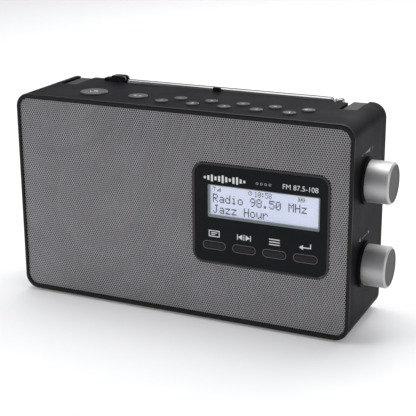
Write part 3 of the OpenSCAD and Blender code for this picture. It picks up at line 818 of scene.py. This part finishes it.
# %% Characters
LETTERS = {
    "R": "####. #...# #...# ####. #.#.. #..#. #...#",
    "a": "..... ..... .###. ....# .#### #...# .####",
    "d": "....# ....# .##.# #..## #...# #...# .####",
    "i": "..#.. ..... .##.. ..#.. ..#.. ..#.. .###.",
    "o": "..... ..... .###. #...# #...# #...# .###.",
    "J": "..### ...#. ...#. ...#. ...#. #..#. .##..",
    "z": "..... ..... ##### ...#. ..#.. .#... #####",
    "H": "#...# #...# #...# ##### #...# #...# #...#",
    "u": "..... ..... #...# #...# #...# #..## .##.#",
    "r": "..... ..... #.##. ##..# #.... #.... #....",
    "M": "#...# ##.## #.#.# #.#.# #...# #...# #...#",
    "0": ".###. #...# #..## #.#.# ##..# #...# .###.",
    "1": "..#.. .##.. ..#.. ..#.. ..#.. ..#.. .###.",
    "5": "##### #.... ####. ....# ....# #...# .###.",
    "8": ".###. #...# #...# .###. #...# #...# .###.",
    "9": ".###. #...# #...# .#### ....# ...#. .##..",
    ".": "..... ..... ..... ..... ..... .##.. .##..",
    ":": "..... .##.. .##.. ..... .##.. .##.. .....",
    " ": "..... " * 7,
}


def marks(text, dot_w, dot_h):
    """Places of the dark rectangles of a line of text, from its upper left corner."""
    places = []
    for position, letter in enumerate(text):
        for row, line in enumerate(LETTERS[letter].split()):
            for column, mark in enumerate(line):
                if mark == "#":
                    places.append(((position * 6 + column) * dot_w, 0, -row * dot_h))
    return places


def dark_text(name, text, x, z, dot_w, dot_h, y):
    """A line of dark characters on the display."""
    dot = slab(name, (x, y, z - dot_h * 0.98), (x + dot_w * 0.98, y + 0.06, z))
    return done(copies(dot, marks(text, dot_w, dot_h)), "cabinet", lcd_ink)


print(len(LETTERS), "characters")

# %% Lines of text
glass_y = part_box("lcd_glass")[0].y / MM - 0.055
text_x = window_low.x + 3.0
DOT_W, DOT_H = 0.75, 0.85
dark_text("display_line_1", "Radio 98.50 MHz", text_x, window_high.z - 6.5, DOT_W, DOT_H, glass_y)
dark_text("display_line_2", "Jazz Hour", text_x, window_high.z - 14.1, DOT_W, DOT_H, glass_y)
dark_text("display_clock", "10:58", window_low.x + 33, window_high.z - 1.6, 0.42, 0.54, glass_y)

# %% [markdown]
# ## Signs on the display
# The display's small signs are a mast with bars of growing height for the signal, a clock face, and
# a battery. They are built from flat blocks and a ring.

# %% Flat blocks and rings
def flat(x0, z0, x1, z1, y, thick=0.06):
    """A flat upright block, for a sign on the front."""
    return slab("sign", (x0, y, z0), (x1, y + thick, z1))


def ring(x, z, outer, inner, y, thick=0.06):
    """A flat upright ring."""
    steps = [(0, inner), (thick, inner), (thick, outer), (0, outer), (0, inner)]
    piece = turned("sign", steps, (x, y, z), "Y", 32)
    edit(piece)
    merge(0.001)
    pick(piece, lambda c, n: math.hypot(c.x / MM - x, c.z / MM - z) < inner / 2)
    bpy.ops.mesh.delete(type="ONLY_FACE")
    outwards()
    leave()
    return piece


print("flat signs are ready")

# %% Signs
sign_z = window_high.z - 4.7


def dark_blocks(left, corners):
    """Dark blocks on the display, measured from the lower left corner of their sign."""
    return [flat(left + x0, sign_z + z0, left + x1, sign_z + z1, glass_y) for x0, z0, x1, z1 in corners]


bars = dark_blocks(text_x, [(3 + i, 0, 3.7 + i, 1 + i * 0.7) for i in range(3)])
mast = dark_blocks(text_x, [(1.0, 0, 1.4, 2.9), (0.1, 2.4, 2.3, 2.9)])
clock_x = window_low.x + 30
hands = dark_blocks(clock_x, [(-0.15, 1.4, 0.15, 2.4), (0, 1.3, 0.8, 1.6)])
clock = [ring(clock_x, sign_z + 1.5, 1.45, 1.1, glass_y)] + hands
case = [(0, 0, 4.4, 0.3), (0, 2.5, 4.4, 2.8), (0, 0.3, 0.3, 2.5), (4.1, 0.3, 4.4, 2.5), (4.4, 0.9, 4.9, 1.9)]
charge = [(0.7 + i * 1.1, 0.7, 1.4 + i * 1.1, 2.1) for i in range(3)]
battery = dark_blocks(window_high.x - 15.5, case + charge)
signs = bars + mast + clock + battery
done(join("display_signs", signs), "cabinet", lcd_ink)

# %% [markdown]
# ## The panel's keys and printing
# Four small pill-shaped keys sit in the openings, a fraction of a millimetre proud, with a
# flange behind that keeps them from falling out. A grey ring round each opening is a painted
# highlight: its colour stands for the light caught on the opening's edge, and makes black keys show
# on a black panel. Their function is printed above each one as a sign. Printing is raised
# by a few hundredths of a millimetre, as screen-printed ink is.

# %% Panel keys
def pill(key):
    """One panel key: cap, flange and the stem that reaches the switch."""
    low, high = mm(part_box(key))
    cap = inner_slab(key + "_cap", low, high, 1, low.y, panel_high.y + 0.35, 2.18, 12)
    edit(cap)
    face_towards(cap, y=-1)
    bpy.ops.mesh.bevel(offset=0.7 * MM, segments=3)
    leave()
    middle = (low + high) / 2
    flange = inner_slab("flange", low, high, 0, panel_high.y + 0.3, panel_high.y + 1.3, 1)
    stem = turned("stem", [(0, 1.5), (high.y - panel_high.y - 0.8, 1.5), (high.y - panel_high.y - 0.5, 1.2)],
                  (middle.x, panel_high.y + 0.5, middle.z), "Y", 24)
    cut(cap, flange, stem, operation="UNION")
    return cap


key_rims = []
for key in KEYS:
    stand_in(key, pill(key))
    key_low, key_high = mm(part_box(key))
    rim = inner_slab("rim", key_low, key_high, 0.25, panel_face_y - 0.12, panel_face_y + 0.2, 2.9, 12)
    cut(rim, inner_slab("rim_tool", key_low, key_high, 0.68, before, panel_high.y, 2.48, 12))
    key_rims.append(rim)
# Painted highlight: the rings' grey stands for light caught on the edge of each key opening.
ring_highlight_paint = moulded("grey ring, painted highlight", (0.10, 0.105, 0.11), 0.3, depth=0.003)
done(join("panel_key_rims", key_rims), "cabinet", ring_highlight_paint)

# %% Printing
INK = 0.05


def printed(name, text, size, place, turn=(math.pi / 2, 0, 0)):
    """Printed letters or numbers, centred at a place in millimetres, on the front or on top."""
    bpy.ops.object.select_all(action="DESELECT")
    bpy.ops.object.text_add(location=[v * MM for v in place], rotation=turn)
    piece = bpy.context.object
    piece.data.body = text
    piece.data.size = size * MM
    piece.data.align_x = "CENTER"
    piece.data.align_y = "CENTER"
    piece.data.extrude = INK / 2 * MM
    bpy.ops.object.convert(target="MESH")
    return centred(bpy.context.object, name)


def wedge(x, z, width, height, y):
    """A flat triangle that points right, or left if its width is negative."""
    piece = slab("wedge", (min(x, x + width), y, z - height / 2),
                 (max(x, x + width), y + INK, z + height / 2))
    edit(piece)
    pick(piece, lambda p: abs(p.x / MM - x - width) < 0.01, "VERT")
    bpy.ops.transform.resize(value=(1, 1, 0.04), center_override=((x + width) * MM, y * MM, z * MM))
    leave()
    return piece


print("printed ink is", INK, "mm thick")

# %% Signs above the keys
ink_y = panel_face_y - INK
sign_row_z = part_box("display_key")[1].z / MM + 5.2
centres = [sum(v.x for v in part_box(key)) / 2 / MM for key in KEYS]


def bar(key, x0, z0, x1, z1):
    """A printed block above a key, measured from the middle of the key's sign."""
    return flat(centres[key] + x0, sign_row_z + z0, centres[key] + x1, sign_row_z + z1, ink_y, INK)


display_sign = [bar(0, -4.0, -2.3, 4.0, -1.7), bar(0, -4.0, 1.7, 4.0, 2.3), bar(0, -4.0, -1.7, -3.4, 1.7),
                bar(0, 3.4, -1.7, 4.0, 1.7), bar(0, -2.3, 0.3, 2.3, 0.9), bar(0, -2.3, -0.9, 0.7, -0.3)]
tune_sign = [wedge(centres[1] - 1.2, sign_row_z, -3.0, 4.0, ink_y),
             wedge(centres[1] + 1.2, sign_row_z, 3.0, 4.0, ink_y),
             bar(1, -0.3, -2.1, 0.3, 2.1), bar(1, -5.0, -2.0, -4.4, 2.0), bar(1, 4.4, -2.0, 5.0, 2.0)]
menu_sign = [bar(2, -3.8, i - 0.35, 3.8, i + 0.35) for i in (-1.8, 0, 1.8)]
enter_sign = [wedge(centres[3] - 1.8, sign_row_z - 0.8, -2.6, 3.4, ink_y),
              bar(3, -1.8, -1.15, 3.8, -0.45), bar(3, 3.1, -0.45, 3.8, 2.1)]
key_signs = display_sign + tune_sign + menu_sign + enter_sign
done(join("panel_key_signs", key_signs), "cabinet", white_print)

# %% [markdown]
# Above the display a radio's front carries some printing. Here that's a row of level bars, four dots
# and a frequency range.

# %% Printing above the display
motif_z = window_high.z + 4.6
bars_x = panel_low.x + 8.6
BAR_PITCH, BAR_W = 2.6, 1.5
HEIGHTS = [1.4, 2.6, 3.9, 2.2, 3.2, 4.4, 3.0, 1.8, 3.6, 4.2, 2.4, 1.4]
bar_places = [bars_x + i * BAR_PITCH for i in range(len(HEIGHTS))]
levels = [flat(x, motif_z - 0.6 * h, x + BAR_W, motif_z + 0.6 * h, ink_y, INK)
          for x, h in zip(bar_places, HEIGHTS)]
done(join("panel_motif", levels), "cabinet", white_print)
band = printed("panel_band", "FM 87.5-108", 4.9, (panel_high.x - 20.5, ink_y + INK / 2, motif_z))
done(band, "cabinet", white_print)
dots = [ring(panel_low.x + 47 + i * 3.0, motif_z, 0.95, 0.45, ink_y, INK) for i in range(4)]
done(join("panel_dots", dots), "cabinet", grey_print)

# %% [markdown]
# ## The keys on top
# Each key is turned: a flange under the cabinet's top keeps it in, its side runs in a round hole,
# and its cap has a rounded edge with a shallow dish for a fingertip. The ten small ones are
# the same shape, yet every one gets its own mesh, because every one moves by itself.

# %% Top keys
def top_key(name):
    """A round key with a flange and a dished cap."""
    low, high = mm(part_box(name))
    middle = (low + high) / 2
    flange_r = (high.x - low.x) / 2
    r = flange_r - 1.2
    tall = high.z - low.z
    steps = [(0, flange_r), (1.2, flange_r), (1.2, r), (tall - 0.75, r), (tall - 0.42, r - 0.1),
             (tall - 0.16, r - 0.34), (tall - 0.02, r - 0.75), (tall - 0.02, r - 1.15),
             (tall - 0.16, r * 0.55), (tall - 0.24, r * 0.2)]
    return turned(name + "_cap", steps, (middle.x, middle.y, low.z), "Z", 64 if r > 6 else 48)


SMALL = ["top_key_%d" % (i + 1) for i in range(10)]
for key in ["power_key", "snooze_key"] + SMALL:
    stand_in(key, top_key(key))

# %% Numbers on the keys
def print_on(key, name, text, size):
    """A number or a sign on a key's dish, which moves with the key."""
    low, high = mm(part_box(key))
    middle = (low + high) / 2
    piece = printed(name, text, size, (middle.x, middle.y, high.z - 0.16), (0, 0, 0))
    done(piece, home[key], white_print)


for key, text in zip(SMALL, ["1", "2", "3", "4", "5", "-", "+", "<", ">", "6+"]):
    print_on(key, key + "_sign", text, 4.2)
print_on("snooze_key", "snooze_key_sign", "z z", 5.2)

# %% [markdown]
# The power sign is a ring with a gap and a bar in it. The ring is a short block whose end face is
# spun round the key's middle.

# %% Power sign
def arc_bar(name, middle, radius, width, start, end, z):
    """A flat round arc on top, from one angle to another in degrees, swept by spin."""
    piece = slab(name, (middle.x + radius, middle.y - 0.01, z),
                 (middle.x + radius + width, middle.y + 0.01, z + INK))
    edit(piece)
    face_towards(piece, y=1)
    bpy.ops.mesh.spin(steps=28, angle=math.radians(end - start), center=(middle.x * MM, middle.y * MM, 0),
                      axis=(0, 0, 1))
    merge(0.001)
    outwards()
    bpy.ops.transform.rotate(value=-math.radians(start), orient_axis="Z",
                             center_override=(middle.x * MM, middle.y * MM, 0))
    leave()
    return piece


key_low, key_high = mm(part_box("power_key"))
key_middle = (key_low + key_high) / 2
power_sign = [arc_bar("power_key_sign", key_middle, 2.3, 0.55, 120, 420, key_high.z - 0.13),
              slab("bar", (key_middle.x - 0.28, key_middle.y + 0.7, key_high.z - 0.13),
                   (key_middle.x + 0.28, key_middle.y + 3.3, key_high.z - 0.08))]
done(join("power_key_sign", power_sign), home["power_key"], white_print)

# %% [markdown]
# ## The knobs
# Both knobs are aluminium cups turned on a lathe and pressed over a plastic core. The lathe leaves
# a bright chamfer, rings along the side and finer rings on the end face. The end face is the same
# aluminium in a far darker colour than the side: that darkness is painted shade. The rings
# come from a noise that depends on the distance from the axis plus the distance along it, so each
# knob has a finish that knows its own axis.

# %% Turned aluminium
def turned_aluminium(name, axis_y, axis_z, dark, light):
    """Aluminium with tool rings round an axis along X."""
    material, tree, shader = new_finish(name, Metallic=1.0)
    place = coordinates(tree, place=(0, -axis_y, -axis_z))
    split = add(tree, "ShaderNodeSeparateXYZ", {"Vector": place})
    flat_part = add(tree, "ShaderNodeCombineXYZ", {"Y": split.outputs["Y"], "Z": split.outputs["Z"]})
    length = add(tree, "ShaderNodeVectorMath", {0: flat_part.outputs["Vector"]}, operation="LENGTH")
    total = add(tree, "ShaderNodeMath", {0: length.outputs["Value"], 1: split.outputs["X"]}, operation="ADD")
    rings = add(tree, "ShaderNodeTexNoise", {"W": total.outputs["Value"], "Scale": 5200.0, "Detail": 3.0},
                noise_dimensions="1D").outputs["Fac"]
    tree.links.new(tones(tree, rings, dark, light), shader.inputs["Base Color"])
    tree.links.new(spread(tree, rings, 0.42, 0.56), shader.inputs["Roughness"])
    bump(tree, shader, rings, 0.012 * MM)
    return material


print("turned aluminium is ready")

# %% Knobs
def knob(node):
    """A knob's metal cup, with a bright chamfer and a slightly sunk end face."""
    low, high = mm(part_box(node))
    middle = (low + high) / 2
    r = (high.z - low.z) / 2
    deep = high.x - low.x
    steps = [(deep - 1.6, r - 1.6), (0, r - 1.6), (0, r - 0.4), (0.15, r - 0.12), (0.45, r), (deep - 1.3, r),
             (deep - 0.9, r - 0.12), (deep - 0.3, r - 0.7), (deep, r - 1.2), (deep, r - 1.5),
             (deep - 0.25, r - 1.75), (deep - 0.25, r * 0.3)]
    return turned(node + "_cup", steps, (low.x, middle.y, middle.z), "X", 96)


SIDE_DARK, SIDE_LIGHT = (0.46, 0.45, 0.455), (0.6, 0.59, 0.595)
# Painted shade: the end face gets the same aluminium in a far darker colour than the side.
SHADED_FACE_DARK, SHADED_FACE_LIGHT = (0.045, 0.044, 0.045), (0.07, 0.069, 0.07)
for node in ["volume_knob_cap", "tuning_knob_cap"]:
    cup = knob(node)
    low, high = mm(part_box(node))
    middle = (low + high) / 2
    face_r = (high.z - low.z) / 2 - 1.6
    side = turned_aluminium("side_" + node, middle.y * MM, middle.z * MM, SIDE_DARK, SIDE_LIGHT)
    end = turned_aluminium("face_" + node, middle.y * MM, middle.z * MM, SHADED_FACE_DARK, SHADED_FACE_LIGHT)
    stand_in(node, cup, [side, end])
    # Faces of the end face take the darker colour, which is painted shade.
    for face in cup.data.polygons:
        place = face.center / MM
        from_axis = math.hypot(place.y - middle.y, place.z - middle.z)
        if face.normal.x > 0.7 and place.x > high.x - 1 and from_axis < face_r:
            face.material_index = 1

# %% [markdown]
# ## The carrying handle
# The handle is one moulding: two arms that fold back into slots in the top, two legs down the back
# and a grip bar between them. A hand holds its edges, so they're rounded more than the cabinet's.
# Its outline comes from the frame, because its pivots and its way round the cabinet depend on it.

# %% Handle
round_off("carry_handle", "handle_moulding", 0.9, segments=3)

# %% Grip ribs
grip_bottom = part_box("carry_handle")[0].z / MM
grip_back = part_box("carry_handle")[1].y / MM
RIB_HALF, RIB_PITCH, RIBS = 32, 2.0, 5
rib = slab("grip_ribs", (mid_x - RIB_HALF, grip_back - 0.2, grip_bottom + 4.2),
           (mid_x + RIB_HALF, grip_back + 0.3, grip_bottom + 5.0))
soften(rib, 0.18)
ribs = copies(rib, [(0, 0, i * RIB_PITCH) for i in range(RIBS)])
done(ribs, "handle", finishes["handle_plastic"])

# %% [markdown]
# ## The aerial
# A telescopic aerial is a set of brass tubes with chrome plate, each crimped at its mouth so that the
# next can't fall out. It hinges in a small black turret that also swivels. The thin tubes inside
# keep the frame's shape and only get a finish. The outer tube gets its crimp, and the
# innermost gets the tip, with a narrow neck for a fingernail to catch.

# %% Aerial fittings
round_off("aerial_turret", "aerial_turret_moulding", 0.45, segments=3)
round_off("aerial_rest", "aerial_rest_moulding", 0.25)

# %% Outer tube
tube_low, tube_high = mm(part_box("aerial_tube_1"))
tube_mid = (tube_low + tube_high) / 2
tube_r = (tube_high.y - tube_low.y) / 2
outer = copy_of("aerial_tube_1", "aerial_tube_1_crimped")
edit(outer)
pick(outer, lambda a, b: min(a.x, b.x) > (tube_high.x - 0.01) * MM
     and math.hypot(a.y / MM - tube_mid.y, a.z / MM - tube_mid.z) > tube_r - 0.05, "EDGE")
bpy.ops.mesh.bevel(offset=0.3 * MM, segments=2)
leave()
stand_in("aerial_tube_1", outer)

# %% Tip
TUBE_STEP = 0.5
tip_low, tip_high = mm(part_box("aerial_tube_5"))
tip_r = (tip_high.y - tip_low.y) / 2
core_r = tube_r - 4 * TUBE_STEP
tip_x = tip_high.x - 6.5
whole = tip_high.x - tip_low.x
start = tip_x - tip_low.x
steps = [(0, core_r - 0.2), (0.2, core_r), (start, core_r), (start + 0.3, 2.2), (start + 1.3, 2.4),
         (start + 1.7, 1.9), (start + 2.6, 1.9), (start + 3.0, tip_r), (whole - 1.0, tip_r),
         (whole - 0.5, tip_r - 0.15), (whole - 0.15, tip_r - 0.5), (whole, tip_r - 1.1)]
stand_in("aerial_tube_5", turned("aerial_tube_5_tip", steps, (tip_low.x, tube_mid.y, tube_mid.z), "X", 48))

# %% [markdown]
# ## The back
# The back holds the battery door on its two pins, a catch at the door's upper edge, the two
# sockets with a metal ring each, and four cross-head screws. Moulded grip lines on the door show
# where a thumb pushes. Rubber feet get a rounded lower edge, so that they don't look like discs.

# %% Battery door
round_off("battery_door", "battery_door_moulding", 0.3)
door_low, door_high = mm(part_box("battery_door"))
door_x = (door_low.x + door_high.x) / 2
line = slab("door_grip_lines", (door_x - 9, back_y - 0.3, door_high.z - 8),
            (door_x + 9, back_y + 0.35, door_high.z - 7.3))
soften(line, 0.2)
LINE_PITCH, LINES = 1.7, 5
lines = copies(line, [(0, 0, -i * LINE_PITCH) for i in range(LINES)])
done(lines, "battery_door", finishes["rear_plastic"])

# %% Door catch
catch = slab("door_catch", (door_x - 11, back_y - 0.9, door_high.z - 4.6),
             (door_x + 11, back_y + 0.4, door_high.z - 2.4))
edit(catch)
face_towards(catch, y=1)
bpy.ops.mesh.inset(thickness=0.5 * MM, depth=0.2 * MM)
leave()
soften(catch, 0.2)
done(catch, "battery_door", finishes["rear_plastic"])

# %% Sockets
for node, ring_r, hole_r in [("headphone_socket", 2.85, 1.95), ("power_socket", 4.05, 3.1)]:
    round_off(node, node + "_moulding", 0.15)
    low, high = mm(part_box(node))
    middle = (low + high) / 2
    collar = ring(middle.x, middle.z, ring_r, hole_r, back_y, 0.22)
    collar.name = node + "_ring"
    soften(collar, 0.06)
    done(collar, "cabinet", finishes["steel"])

# %% Screws and feet
round_off("case_screws", "case_screws_crosshead", 0.12)

FOOT_R = 6.0
foot_low, foot_high = mm(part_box("rubber_feet"))
steps = [(0, FOOT_R - 1.4), (0, FOOT_R - 0.5), (0.12, FOOT_R - 0.2), (0.4, FOOT_R), (foot_high.z, FOOT_R)]
feet = []
for foot_x in (-1, 1):
    for foot_y in (-1, 1):
        x = mid_x + foot_x * ((foot_high.x - foot_low.x) / 2 - FOOT_R)
        y = mid_y + foot_y * ((foot_high.y - foot_low.y) / 2 - FOOT_R)
        feet.append(turned("foot", steps, (x, y, foot_low.z), "Z", 40))
stand_in("rubber_feet", join("rubber_feet_rounded", feet))

# %% [markdown]
# ## Small marks on the cabinet
# Above each knob a mark is moulded into the side: a rising wedge between a minus and a plus for
# loudness, and a pair of arrows for tuning. Black on black, they only show where light grazes them.

# %% Raised blocks on the side
def on_side(name, y0, z0, y1, z1):
    """A flat raised block on the cabinet's right side."""
    side = mid_x + half_w
    return slab(name, (side - 0.1, y0, z0), (side + 0.12, y1, z1))


def side_wedge(y, z, width, height):
    """A raised triangle on the side, with its point at y + width."""
    piece = on_side("wedge", min(y, y + width), z - height / 2, max(y, y + width), z + height / 2)
    edit(piece)
    pick(piece, lambda p: abs(p.y / MM - y - width) < 0.01, "VERT")
    bpy.ops.transform.resize(value=(1, 1, 0.06), center_override=(0, (y + width) * MM, z * MM))
    leave()
    return piece


print("side marks stand on x =", round(mid_x + half_w, 2))

# %% Marks for loudness and tuning
MARK_RISE = 19.5
knob_mid = [sum(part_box(n), Vector()) / 2 / MM for n in ("volume_knob_cap", "tuning_knob_cap")]
marks_z = [k.z + MARK_RISE for k in knob_mid]
knob_y = knob_mid[0].y
volume = [side_wedge(knob_y + 6, marks_z[0], -12, 2.6),
          on_side("minus", knob_y - 12.5, marks_z[0] - 0.3, knob_y - 9.5, marks_z[0] + 0.3),
          on_side("plus", knob_y + 9.5, marks_z[0] - 0.3, knob_y + 12.5, marks_z[0] + 0.3),
          on_side("plus", knob_y + 10.7, marks_z[0] - 1.5, knob_y + 11.3, marks_z[0] + 1.5)]
tuning = [side_wedge(knob_y - 8, marks_z[1], -3.4, 3.0), side_wedge(knob_y + 8, marks_z[1], 3.4, 3.0),
          on_side("bar", knob_y - 5.5, marks_z[1] - 0.25, knob_y + 5.5, marks_z[1] + 0.25)]
done(join("side_marks", volume + tuning), "cabinet", polished)

# %% [markdown]
# ## The size
# Looks never change the size. The finished radio's box is measured.

# %% The finished radio's box
low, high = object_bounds()
